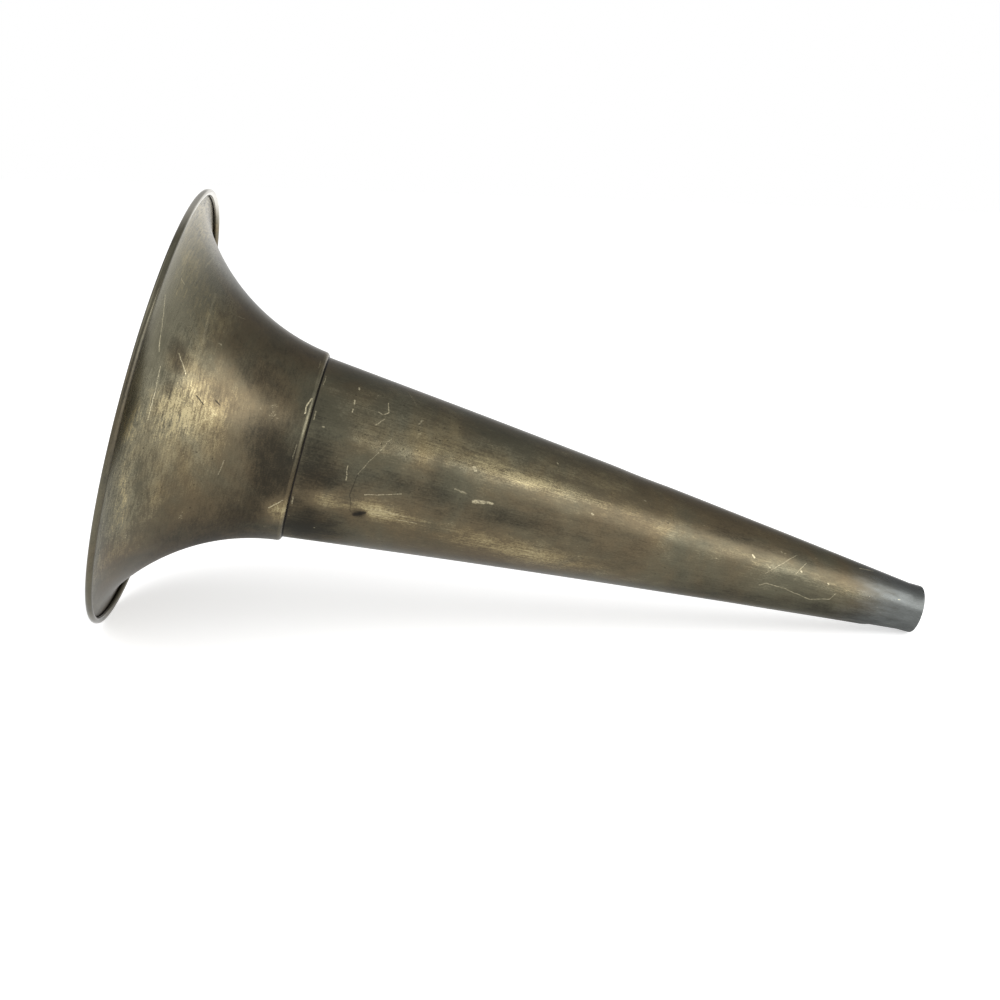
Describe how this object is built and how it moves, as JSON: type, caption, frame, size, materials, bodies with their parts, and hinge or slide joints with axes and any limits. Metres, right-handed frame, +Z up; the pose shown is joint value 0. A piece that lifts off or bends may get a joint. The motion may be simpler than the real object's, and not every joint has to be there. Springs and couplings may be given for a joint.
{
  "type": "phonograph horn",
  "caption": "Straight brass phonograph horn: spun bell with a wired rolled rim, soldered to a long lapped-seam cone that ends in a short nipple for a rubber hose.",
  "frame": {"origin": "table level under the middle of the lying horn's bounding box", "axes": "+X along the table from the mouth to the nipple, +Z up from the table, +Y away from the side that the picture shows"},
  "size_m": [0.3728, 0.196, 0.1905],
  "materials": {
    "bell_brass": "dark brown-grey patina, worn through to yellow brass, fine spin lines",
    "cone_brass": "dark brown-grey patina, worn through to yellow brass along the length, grey at the nipple",
    "rim_iron": "dull dark iron wire",
    "solder": "dull grey soft solder"
  },
  "bodies": {
    "root": {"bell": "bell_brass", "rim_wire": "rim_iron", "cone": "cone_brass", "joint_solder": "solder", "seam_solder": "solder"}
  },
  "joints": []
}
